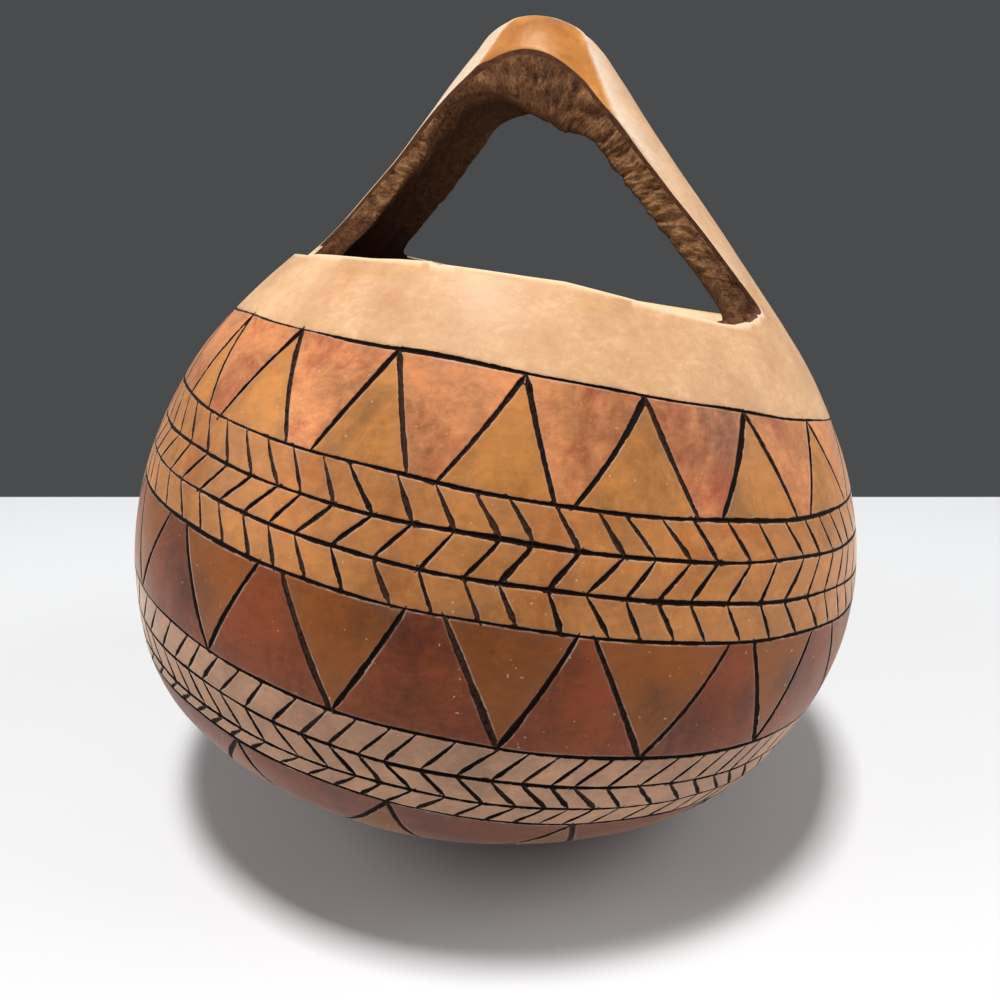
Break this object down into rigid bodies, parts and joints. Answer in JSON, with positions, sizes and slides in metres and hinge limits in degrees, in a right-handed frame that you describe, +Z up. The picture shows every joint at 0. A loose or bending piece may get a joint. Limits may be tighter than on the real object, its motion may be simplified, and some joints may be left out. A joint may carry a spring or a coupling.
{
  "type": "gourd basket",
  "caption": "Squat gourd bowl with carved bands and a strap handle of its own shell arching over the open mouth; it leans a little on a small resting flat.",
  "frame": {"origin": "on the level flat that the basket rests on, below the gourd's lowest skin", "axes": "+Z up from the resting flat; the gourd's own axis leans from +Z towards +X; the handle strap runs nearly along X, its +X leg turned towards -Y"},
  "size_m": [0.2324, 0.2315, 0.2401],
  "materials": {
    "carved_skin": "satin gourd skin, stained in bands with black-filled gouge lines",
    "plain_skin": "smooth satin gourd skin",
    "cut_flesh": "matt, rough and fibrous",
    "stem_cork": "matt, crumbly"
  },
  "bodies": {
    "root": {"bowl_rind": "carved_skin", "bowl_flesh": "cut_flesh", "handle_rind": "plain_skin", "handle_flesh": "cut_flesh", "stem_scar": "stem_cork"}
  },
  "joints": []
}
